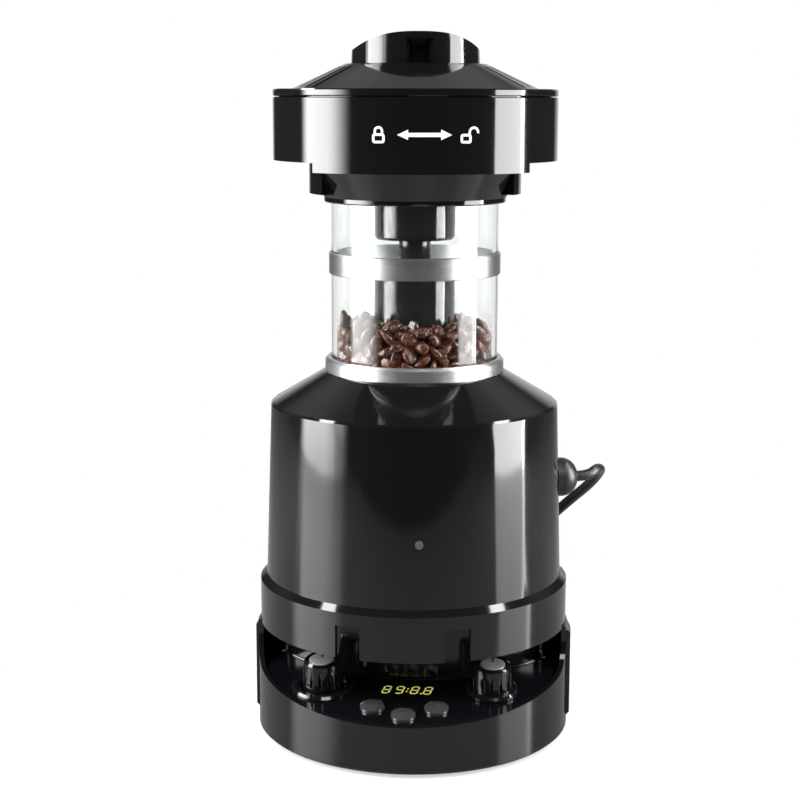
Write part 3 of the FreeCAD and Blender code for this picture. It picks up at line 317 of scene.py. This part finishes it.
def world_ramp(tree, value, source, target):
    made = tree.nodes.new("ShaderNodeMapRange")
    made.interpolation_type = "SMOOTHSTEP"
    made.inputs["From Min"].default_value, made.inputs["From Max"].default_value = source
    made.inputs["To Min"].default_value, made.inputs["To Max"].default_value = target
    tree.links.new(value, made.inputs["Value"])
    return made.outputs["Result"]


def world_math(tree, operation, first, second):
    made = tree.nodes.new("ShaderNodeMath")
    made.operation = operation
    tree.links.new(first, made.inputs[0])
    tree.links.new(second, made.inputs[1])
    return made.outputs[0]


def add_light(name, azimuth, distance, height, size, power, aim_height=0.18, fade=None):
    """A softbox; azimuth in degrees from the front, growing towards +X.

    fade lists (place, share of the power) across it; a faded softbox is also weaker near its foot.
    """
    turn = math.radians(azimuth)
    data = bpy.data.lights.new(name, "AREA")
    data.shape = "RECTANGLE"
    data.size, data.size_y = size
    data.energy = power
    if fade:
        data.use_nodes = True
        tree = data.node_tree
        spread = tree.nodes.new("ShaderNodeNewGeometry")
        split = tree.nodes.new("ShaderNodeSeparateXYZ")
        tree.links.new(spread.outputs["Parametric"], split.inputs[0])
        across = fade_ramp(tree, split.outputs["X"], fade)
        upward = fade_ramp(tree, split.outputs["Y"], ((0.0, 0.5), (0.10, 0.8), (0.3, 1.0)))
        strength = world_math(tree, "MULTIPLY", across, upward)
        tree.links.new(strength, tree.nodes["Emission"].inputs["Strength"])
    lamp = bpy.data.objects.new(name, data)
    lamp.location = (distance * math.sin(turn), -distance * math.cos(turn), height)
    aim = Vector((0, 0, aim_height)) - lamp.location
    lamp.rotation_euler = aim.to_track_quat("-Z", "Y").to_euler()
    bpy.context.scene.collection.objects.link(lamp)


def fade_ramp(tree, socket, stops):
    """An eased ramp through (place, share) stops."""
    ramp = tree.nodes.new("ShaderNodeValToRGB")
    ramp.color_ramp.interpolation = "EASE"
    elements = ramp.color_ramp.elements
    while len(elements) < len(stops):
        elements.new(0.5)
    for element, (place, share) in zip(elements, sorted(stops)):
        element.position = place
        element.color = (share, share, share, 1)
    tree.links.new(socket, ramp.inputs["Fac"])
    return ramp.outputs["Color"]


def add_floor():
    """A polished white table: white to the eye with a soft shadow, dimmer to what it is mirrored in."""
    mesh = bpy.data.meshes.new("floor")
    side, front, back = 3.0, -0.75, 3.0
    mesh.from_pydata([(-side, front, 0), (side, front, 0), (side, back, 0), (-side, back, 0)], [], [(0, 1, 2, 3)])
    floor = bpy.data.objects.new("floor", mesh)
    bpy.context.scene.collection.objects.link(floor)
    material, tree, table = new_material("floor_white")
    output = tree.nodes["Material Output"]
    table.inputs["Base Color"].default_value = (0.22, 0.22, 0.22, 1)
    table.inputs["Roughness"].default_value = 0.24
    table.inputs["IOR"].default_value = 1.3
    shown = tree.nodes.new("ShaderNodeBsdfDiffuse")
    shown.inputs["Color"].default_value = (0.8, 0.8, 0.8, 1)
    bright = tree.nodes.new("ShaderNodeEmission")
    bright.inputs["Strength"].default_value = 1.0
    where = tree.nodes.new("ShaderNodeTexCoord")
    length = tree.nodes.new("ShaderNodeVectorMath")
    length.operation = "LENGTH"
    tree.links.new(where.outputs["Object"], length.inputs[0])
    share = world_ramp(tree, length.outputs["Value"], (0.08, 0.26), (0.55, 1.0))
    lit = tree.nodes.new("ShaderNodeMixShader")
    tree.links.new(share, lit.inputs["Fac"])
    tree.links.new(shown.outputs[0], lit.inputs[1])
    tree.links.new(bright.outputs[0], lit.inputs[2])
    path = tree.nodes.new("ShaderNodeLightPath")
    split = tree.nodes.new("ShaderNodeSeparateXYZ")
    tree.links.new(where.outputs["Object"], split.inputs[0])
    far_side = world_ramp(tree, split.outputs["Y"], (0.02, 0.06), (0.0, 1.0))
    through = world_math(tree, "MULTIPLY", path.outputs["Is Transmission Ray"], far_side)
    seen = world_math(tree, "MAXIMUM", path.outputs["Is Camera Ray"], through)
    mix = tree.nodes.new("ShaderNodeMixShader")
    tree.links.new(seen, mix.inputs["Fac"])
    tree.links.new(table.outputs[0], mix.inputs[1])
    tree.links.new(lit.outputs[0], mix.inputs[2])
    tree.links.new(mix.outputs[0], output.inputs["Surface"])
    mesh.materials.append(material)


# Meshes

def mesh_object(name, vertices, faces, material, body, smooth=True):
    mesh = bpy.data.meshes.new(name)
    mesh.from_pydata(vertices, [], faces)
    mesh.validate()
    mesh.materials.append(material)
    for polygon in mesh.polygons:
        polygon.use_smooth = smooth
    made = bpy.data.objects.new(name, mesh)
    bpy.context.scene.collection.objects.link(made)
    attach(made, body)
    return made


def round_edges(width, *nodes):
    """Breaks the sharp edges of solids, as a mould does, so that they catch the light."""
    for name in nodes:
        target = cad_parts[name]
        flat = target.modifiers.new("flat_faces", "DECIMATE")
        flat.decimate_type = "DISSOLVE"
        flat.angle_limit = math.radians(0.4)
        bevel = target.modifiers.new("edges", "BEVEL")
        bevel.width = width * MM
        bevel.segments = 3
        bevel.limit_method = "ANGLE"
        bevel.angle_limit = math.radians(32)
        bevel.miter_outer = "MITER_ARC"
        for polygon in target.data.polygons:
            polygon.use_smooth = True
        weighted = target.modifiers.new("normals", "WEIGHTED_NORMAL")
        weighted.keep_sharp = True


# Print and signs, drawn flat in millimetres as four-cornered patches

def stroke(points, width, closed=False):
    """Patches along a line of points."""
    count = len(points)
    sides = []
    for index, point in enumerate(points):
        before = points[index - 1] if closed or index else point
        after = points[(index + 1) % count] if closed or index < count - 1 else point
        along = Vector((after[0] - before[0], after[1] - before[1])).normalized()
        across = Vector((-along.y, along.x)) * width / 2
        sides.append(((point[0] + across.x, point[1] + across.y), (point[0] - across.x, point[1] - across.y)))
    pairs = list(zip(sides, sides[1:] + sides[:1])) if closed else list(zip(sides, sides[1:]))
    return [(one[0], one[1], two[1], two[0]) for one, two in pairs]


def slices(points):
    """Patches of a shape that is even about its middle line, from (place, half height) points."""
    patches = []
    for (place, half), (next_place, next_half) in zip(points, points[1:]):
        if next_place > place:
            patches.append(((place, -half), (next_place, -next_half), (next_place, next_half), (place, half)))
    return patches


def arc(centre, radius, start, end, count):
    return [(centre[0] + radius * math.cos(math.radians(start + (end - start) * index / count)),
             centre[1] + radius * math.sin(math.radians(start + (end - start) * index / count)))
            for index in range(count + 1)]


def rounded_box(width, height, corner, centre):
    x, y = width / 2 - corner, height / 2 - corner
    points = []
    for sign_x, sign_y, start in ((1, 1, 0), (-1, 1, 90), (-1, -1, 180), (1, -1, 270)):
        points += arc((centre[0] + sign_x * x, centre[1] + sign_y * y), corner, start, start + 90, 4)
    return points


def printed(name, patches, place, material, body, thickness=0.06):
    """Lays flat patches on a surface; place turns a flat point and a height into a point in metres."""
    vertices = []
    faces = []
    for patch in patches:
        first = len(vertices)
        vertices += [place(x, y, thickness) for x, y in patch]
        vertices += [place(x, y, -0.02) for x, y in patch]
        faces.append((first, first + 1, first + 2, first + 3))
        faces.append((first + 7, first + 6, first + 5, first + 4))
        for a, b in ((0, 1), (1, 2), (2, 3), (3, 0)):
            faces.append((first + a, first + 4 + a, first + 4 + b, first + b))
    made = mesh_object(name, vertices, faces, material, body, False)
    shape = bmesh.new()
    shape.from_mesh(made.data)
    bmesh.ops.recalc_face_normals(shape, faces=shape.faces)
    shape.to_mesh(made.data)
    shape.free()
    return made


def on_band(x, y, lift):
    """A point on the lock band, y up from the middle of its print."""
    radius = BAND_RADIUS + lift
    angle = x / BAND_RADIUS + CAP_TURN
    return (radius * math.sin(angle) * MM, -radius * math.cos(angle) * MM, (BAND_PRINT_Z + y) * MM)


def on_panel(centre_x, centre_y, rise):
    """Places flat shapes on the sloping panel, about a point and a height above it."""
    base_z = PANEL_FRONT_Z + math.tan(PANEL_TILT) * (centre_y + PANEL_FRONT_Y)

    def place(x, y, lift):
        height = rise + lift
        return ((centre_x + x) * MM,
                (centre_y + y * math.cos(PANEL_TILT) - height * math.sin(PANEL_TILT)) * MM,
                (base_z + y * math.sin(PANEL_TILT) + height * math.cos(PANEL_TILT)) * MM)
    return place


def add_band_print(ink):
    """A closed lock, a double arrow and an open lock."""
    patches = stroke(rounded_box(5.0, 3.5, 0.7, (-22.3, -1.7)), 1.2, True)
    patches += stroke([(-24.1, 0.0)] + arc((-22.3, 1.7), 1.8, 180, 0, 10) + [(-20.5, 0.0)], 1.15)
    tip, neck, shaft, head = 13.2, 7.9, 1.0, 2.45
    line = [(-tip, 0.02), (-neck, head)]
    line += [(-neck + 0.001, shaft)]
    line += [(-neck + 2 * neck * index / 12, shaft) for index in range(1, 12)]
    line += [(neck - 0.001, shaft), (neck, head), (tip, 0.02)]
    patches += slices(line)
    patches += stroke(rounded_box(4.4, 3.3, 0.6, (20.3, -1.8)), 1.2, True)
    patches += stroke([(22.0, -0.4)] + arc((24.3, 1.2), 2.2, 170, -10, 10), 1.1)
    printed("band_print", patches, on_band, ink, "lock_band_body")


SEGMENTS = {
    "a": ((-1, 2), (1, 2)), "b": ((1, 2), (1, 0)), "c": ((1, 0), (1, -2)), "d": ((-1, -2), (1, -2)),
    "e": ((-1, 0), (-1, -2)), "f": ((-1, 2), (-1, 0)), "g": ((-1, 0), (1, 0)),
}


def add_digits(lit):
    """Four slanted seven-segment digits with a colon."""
    patches = []
    half_width, quarter = 1.75, 1.75
    for centre, shown in ((-10.6, "abcdefg"), (-3.7, "abcdfg"), (4.1, "abcdefg"), (11.0, "abcdefg")):
        for key in shown:
            (x0, y0), (x1, y1) = SEGMENTS[key]
            start = Vector((x0 * half_width, y0 * quarter))
            end = Vector((x1 * half_width, y1 * quarter))
            along = (end - start).normalized() * 0.42
            start, end = start + along, end - along
            patches += stroke([slanted(centre, start), slanted(centre, end)], 0.66)
    for height in (-1.4, 1.4):
        place = slanted(0.25, Vector((0, height)))
        patches += stroke([(place[0] - 0.45, place[1]), (place[0] + 0.45, place[1])], 0.9)
    patches += stroke([(7.1, -3.3), (8.0, -3.3)], 0.9)
    printed("display_digits", patches, on_panel(0.0, -45.0, 0.0), lit, "base")


def slanted(centre, point):
    return (centre + point.x + point.y * 0.2, point.y)


def add_icons(ink, silver):
    """The dark marks on the buttons and the bright disc with its pointer on each knob."""
    ring = [(1.1 * math.cos(turn), 1.1 * math.sin(turn)) for turn in [index * math.pi / 10 for index in range(20)]]
    triangle = [(-1.7, 0.02), (1.1, 1.7)]
    up = [((-y, x), (-y2, x2), (y2, x2), (y, x)) for (x, y), (x2, y2) in zip(triangle, triangle[1:])]
    down = [((-y, -x), (-y2, -x2), (y2, -x2), (y, -x)) for (x, y), (x2, y2) in zip(triangle, triangle[1:])]
    for name, x, y, patches in (("left", -16.5, -63.5, down), ("middle", 0.0, -71.0, stroke(ring, 0.6, True)),
                                ("right", 16.5, -63.5, up)):
        place = on_panel(x, y, BUTTON_CROWN - 0.22)
        printed(name + "_button_mark", patches, place, ink, name + "_button_body", 0.3)
    for name, x in (("left", -KNOB_CENTRE_X), ("right", KNOB_CENTRE_X)):
        place = on_panel(x, KNOB_CENTRE_Y, KNOB_DISC_RISE)
        add_dish(name + "_knob_disc", place, 6.6, silver, name + "_knob_body")
        place = on_panel(x, KNOB_CENTRE_Y, 16.2)
        printed(name + "_knob_pointer", stroke([(0, 1.5), (0, 5.9)], 0.9), place, ink, name + "_knob_body")


def add_dish(name, place, radius, material, body):
    """A thin foil disc with a rolled edge."""
    rings = [(0.0, 0.32), (radius * 0.55, 0.30), (radius * 0.9, 0.28), (radius * 0.97, 0.2), (radius, 0.0),
             (0.0, 0.0)]
    count = 40
    vertices = []
    for reach, height in rings:
        for index in range(count):
            turn = index * 2 * math.pi / count
            vertices.append(place(reach * math.cos(turn), reach * math.sin(turn), height))
    faces = []
    for level in range(len(rings) - 1):
        for index in range(count):
            after = (index + 1) % count
            faces.append((level * count + index, level * count + after,
                          (level + 1) * count + after, (level + 1) * count + index))
    made = mesh_object(name, vertices, faces, material, body)
    shape = bmesh.new()
    shape.from_mesh(made.data)
    bmesh.ops.remove_doubles(shape, verts=shape.verts, dist=1e-6)
    bmesh.ops.recalc_face_normals(shape, faces=shape.faces)
    shape.to_mesh(made.data)
    shape.free()


# Lid knob

def add_lid_knob(material):
    """The broad knob with its smooth arch: the solid's own form, its top drawn to one even curve."""
    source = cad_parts["lid_knob"]
    shape = bmesh.new()
    shape.from_mesh(source.data)
    straight = Matrix.Rotation(-CAP_TURN, 4, "Z") @ source.matrix_world
    bmesh.ops.transform(shape, matrix=straight, verts=shape.verts)
    bmesh.ops.remove_doubles(shape, verts=shape.verts, dist=1e-6)
    bmesh.ops.dissolve_limit(shape, angle_limit=math.radians(0.4), verts=shape.verts, edges=shape.edges)
    for index in range(-31, 32):
        bmesh.ops.bisect_plane(shape, geom=shape.verts[:] + shape.edges[:] + shape.faces[:],
                               plane_co=(index * 1.05 * MM, 0, 0), plane_no=(1, 0, 0))
    foot = KNOB_FOOT_Z
    for vertex in shape.verts:
        across = abs(vertex.co.x) / MM
        height = vertex.co.z / MM - foot
        vertex.co.z = (foot + height * new_arch(across) / old_arch(across)) * MM
    bmesh.ops.transform(shape, matrix=Matrix.Rotation(CAP_TURN, 4, "Z"), verts=shape.verts)
    mesh = bpy.data.meshes.new("lid_knob_form")
    shape.to_mesh(mesh)
    shape.free()
    mesh.materials.clear()
    mesh.materials.append(material)
    for polygon in mesh.polygons:
        polygon.use_smooth = True
    made = bpy.data.objects.new("lid_knob_form", mesh)
    bpy.context.scene.collection.objects.link(made)
    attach(made, "lid")
    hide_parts("lid_knob")
    bevel = made.modifiers.new("edges", "BEVEL")
    bevel.width = 0.7 * MM
    bevel.segments = 3
    bevel.limit_method = "ANGLE"
    bevel.angle_limit = math.radians(32)
    made.modifiers.new("normals", "WEIGHTED_NORMAL")


def old_arch(across):
    """The solid's height above the knob's foot at a distance from its middle."""
    flat, end, top, low = 12.0, 34.6, KNOB_RISE, 8.1
    radius = ((end - flat) ** 2 + (top - low) ** 2) / (2 * (top - low))
    beyond = max(across - flat, 0.0)
    return top - radius + math.sqrt(radius ** 2 - beyond ** 2)


def new_arch(across):
    """The same height on the smoother curve: it falls by drop at the knob's end."""
    drop, end, power = 7.8, 31.6, 2.8
    return KNOB_RISE - drop * (across / end) ** power


def add_recess_bead(material):
    """The rolled edge where the recess's curved back wall meets the panel."""
    radius, centre_y, bead = 105.2, 71.5, 0.9
    steps, around = 90, 10
    vertices = []
    for index in range(steps + 1):
        angle = math.radians(-46.5 + index * 93.0 / steps)
        x, y = radius * math.sin(angle), centre_y - radius * math.cos(angle)
        place = on_panel(x, y, 0.1)
        for turn in range(around):
            share = turn * 2 * math.pi / around
            out = bead * math.cos(share)
            vertices.append(place(out * math.sin(angle), -out * math.cos(angle), bead * math.sin(share)))
    faces = []
    for index in range(steps):
        for turn in range(around):
            after = (turn + 1) % around
            faces.append((index * around + turn, index * around + after,
                          (index + 1) * around + after, (index + 1) * around + turn))
    faces.append(tuple(range(around)))
    faces.append(tuple(reversed(range(steps * around, (steps + 1) * around))))
    mesh_object("recess_bead", vertices, faces, material, "base")


# Beans

def bean_shape(around=14, along=9):
    """A roasted bean about the origin: domed back, flat face with a crease; unit millimetres."""
    points = [(-5.3, 0.0, 0.0)]
    for ring in range(1, along):
        share = ring * math.pi / along
        x = -5.3 * math.cos(share)
        girth = math.sin(share) ** 0.85
        for index in range(around):
            turn = index * 2 * math.pi / around
            y = 3.9 * girth * math.cos(turn)
            z = girth * math.sin(turn)
            if z < 0:
                z = z * 1.9 + 1.15 * girth * math.exp(-(y / 1.0) ** 2)
            else:
                z = z * 3.1
            points.append((x, y, z))
    points.append((5.3, 0.0, 0.0))
    faces = []
    for index in range(around):
        after = (index + 1) % around
        faces.append((0, 1 + after, 1 + index))
        last = 1 + (along - 2) * around
        faces.append((len(points) - 1, last + index, last + after))
        for ring in range(along - 2):
            low = 1 + ring * around
            faces.append((low + index, low + after, low + around + after, low + around + index))
    return np.array(points), faces


def bean_places(count, rng):
    """Drops beans as soft balls into the space between the drum and the glass and lets them settle."""
    turn = rng.uniform(0, 2 * math.pi, count)
    radius = np.sqrt(rng.uniform(26.0 ** 2, 36.0 ** 2, count))
    place = np.stack([radius * np.cos(turn), radius * np.sin(turn), rng.uniform(192, 292, count)], 1)
    size = 3.75
    for _ in range(220):
        place[:, 2] -= 0.5
        for _ in range(3):
            apart = place[:, None] - place[None]
            length = np.linalg.norm(apart, axis=2)
            np.fill_diagonal(length, 100.0)
            push = np.clip(2 * size - length, 0, None) / np.maximum(length, 1e-6) * 0.25
            place += (apart * push[..., None]).sum(1)
            reach = np.hypot(place[:, 0], place[:, 1])
            held = np.clip(reach, DRUM_RADIUS + 3.4, GLASS_RADIUS - 3.6)
            place[:, :2] *= (held / reach)[:, None]
            place[:, 2] = np.maximum(place[:, 2], ROAST_PLATE_Z + 3.4)
    return place


def add_beans(material):
    """The heap of beans as one piece that rides with the chamber."""
    seed, count = 7, 540
    rng = np.random.default_rng(seed)
    points, faces = bean_shape()
    vertices = []
    all_faces = []
    for centre in bean_places(count, rng):
        turn = Matrix.Rotation(rng.uniform(0, 2 * math.pi), 3, "Z") @ Matrix.Rotation(
            rng.normal(0, 0.75), 3, "Y") @ Matrix.Rotation(rng.uniform(0, 2 * math.pi), 3, "X")
        size = rng.uniform(0.86, 1.04)
        local = (points * size) @ np.array(turn).T
        placed = local + centre
        reach = np.hypot(placed[:, 0], placed[:, 1])
        held = np.clip(reach, 21.4, 41.0)
        placed[:, :2] *= (held / reach)[:, None]
        placed[:, 2] = np.maximum(placed[:, 2], 187.7)
        first = len(vertices)
        vertices += [tuple(point * MM) for point in placed]
        all_faces += [tuple(first + corner for corner in face) for face in faces]
    mesh_object("coffee_beans", vertices, all_faces, material, "chamber")


# Cord

def coil_point(turn):
    """The coil of the put-away length: in on top, down a layer, out below."""
    inner = 0.030
    pitch = 0.0064
    turns = 1.5
    radius_of_cord = 0.0029
    wound = turns * 2 * math.pi
    rest = wound + math.pi / 2
    radius = inner + pitch / (2 * math.pi) * (abs(turn - rest) - math.pi / 2)
    drop = min(max((turn - wound) / math.pi, 0), 1)
    high = radius_of_cord + pitch
    height = high + (radius_of_cord - high) * (1 - math.cos(math.pi * drop)) / 2
    angle = -math.pi / 2 - turn
    centre = Vector((-0.006, 0.084 + 0.014 + inner + pitch * turns, 0))
    return centre + Vector((radius * math.cos(angle), radius * math.sin(angle), height))


def add_cord(material):
    outward = Vector((math.sin(math.radians(105)), -math.cos(math.radians(105)), 0))
    start = outward * CORD_START + Vector((0, 0, 0.134))
    total = (2 * 1.5 + 0.5) * 2 * math.pi
    small = 1e-4
    first = coil_point(0)
    first_way = (coil_point(small) - first).normalized()
    last = coil_point(total)
    last_way = (last - coil_point(total - small)).normalized()
    lead_in = first - first_way * 0.0058
    points = [
        start,
        start + outward * 0.0075,
        Vector((0.099, 0.031, 0.137)),
        Vector((0.102, 0.044, 0.1335)),
        Vector((0.0965, 0.061, 0.1215)),
        Vector((0.085, 0.079, 0.107)),
        Vector((0.069, 0.093, 0.088)),
        Vector((0.055, 0.101, 0.062)),
        Vector((0.042, 0.104, 0.038)),
        Vector((0.026, lead_in.y + 0.0012, 0.019)),
        lead_in - first_way * 0.012,
        lead_in,
    ]
    steps = 56
    for index in range(steps + 1):
        points.append(coil_point(total * index / steps))
    points.append(last + last_way * 0.013)
    points.append(last + last_way * 0.026)
    data = bpy.data.curves.new("mains_cord", "CURVE")
    data.dimensions = "3D"
    spline = data.splines.new("NURBS")
    spline.points.add(len(points) - 1)
    for slot, point in zip(spline.points, points):
        slot.co = (*point, 1)
    spline.order_u = 3
    spline.use_endpoint_u = True
    spline.resolution_u = 8
    data.bevel_depth = 0.0029
    data.bevel_resolution = 5
    data.materials.append(material)
    cord = bpy.data.objects.new("mains_cord", data)
    bpy.context.scene.collection.objects.link(cord)
    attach(cord, "base")
    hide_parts("cord", "cord_coil")


def main():
    set_view()
    add_camera()
    set_world()
    left_fade = ((0.0, 0.0), (0.2, 1.0), (0.5, 1.0), (0.9, 0.0))
    add_light("left_softbox", -68, 0.95, 0.47, (1.01, 0.94), 57.0, 0.47, left_fade)
    add_light("right_softbox", 82, 0.95, 0.47, (0.50, 0.94), 22.0, 0.47)
    add_light("left_upper", -100, 0.66, 0.95, (0.8, 0.12), 5.5)
    add_light("right_upper", 104, 0.66, 0.95, (0.6, 0.12), 4.2)
    add_light("right_rim", 95, 0.95, 0.47, (0.05, 0.94), 4.0, 0.47)
    add_light("top_softbox", 15, 1.1, 1.3, (0.7, 0.5), 10.0)
    add_floor()
    cord_rubber = matte_plastic("cord_rubber", (0.012, 0.012, 0.012), 0.35)
    add_cord(cord_rubber)
    black = gloss_plastic("piano_black", (0.0045, 0.0042, 0.005))
    panel = gloss_plastic("panel_black", (0.003, 0.003, 0.0042), 0.11)
    silver = cast_metal("silver_foil", (0.72, 0.72, 0.73), 0.38, 0.6)
    pewter = cast_metal("pewter_paint", (0.24, 0.24, 0.245), 0.17, 0.85)
    satin = matte_plastic("satin_black", (0.022, 0.022, 0.023))
    steel = brushed_steel("brushed_steel")
    drum = gloss_plastic("drum_black", (0.008, 0.008, 0.008), 0.1)
    paint(black, "base_tray", "rear_cover", "base_ring", "dial_ring", "left_knob", "right_knob", "main_housing",
          "cap_cup", "lock_band", "chaff_lid", "lid_knob")
    paint(panel, "control_panel", "display_window")
    paint(pewter, "left_button", "middle_button", "right_button")
    paint(satin, "bottom_cover", "display_module", "button_switches", "chamber_socket", "blower_scroll", "impeller",
          "deck_plate")
    paint(drum, "stirrer_column", "stirrer_shaft", "upper_column")
    paint(steel, "low_ring", "mid_band", "roast_plate", "chaff_filter", "stirrer_paddles")
    paint(clear_glass("chamber_glass"), "glass_tube")
    paint(matte_plastic("foot_rubber", (0.02, 0.02, 0.02), 0.7), "feet")
    paint(matte_plastic("silicone_grey", (0.45, 0.45, 0.46), 0.5), "cap_gasket")
    paint(matte_plastic("dot_grey", (0.09, 0.09, 0.092), 0.4), "indicator_dot")
    paint(matte_plastic("board_green", (0.02, 0.14, 0.05), 0.4), "control_board", "power_board")
    paint(cast_metal("motor_steel", (0.55, 0.56, 0.58)), "blower_motor", "gear_motor", "drive_dog", "left_encoder",
          "right_encoder")
    paint(cast_metal("galvanised", (0.6, 0.61, 0.63), 0.45), "plenum", "air_duct")
    paint(cast_metal("heater_sheath", (0.12, 0.09, 0.08), 0.6), "heater_element")
    paint(cast_metal("brass", (0.7, 0.5, 0.22), 0.3), "left_knob_shaft", "right_knob_shaft")
    paint(cast_metal("screw_steel", (0.6, 0.6, 0.62), 0.25), "deck_screws")
    paint(matte_plastic("ceramic_white", (0.7, 0.69, 0.66), 0.5), "thermal_cutout")
    paint(cord_rubber, "strain_relief", "plug")
    add_band_print(matte_plastic("white_ink", (0.9, 0.9, 0.9), 0.4))
    add_digits(glow("digit_glow", (0.7, 0.72, 0.17), 0.62))
    add_icons(matte_plastic("dark_ink", (0.02, 0.02, 0.022), 0.5), silver)
    add_beans(bean_material())
    add_lid_knob(black)
    add_recess_bead(black)
    round_edges(0.8, "base_tray", "base_ring")
    round_edges(0.5, "main_housing", "lock_band", "chaff_lid", "cap_cup", "rear_cover", "control_panel")
    round_edges(0.25, "left_knob", "right_knob", "dial_ring", "strain_relief", "plug")


main()
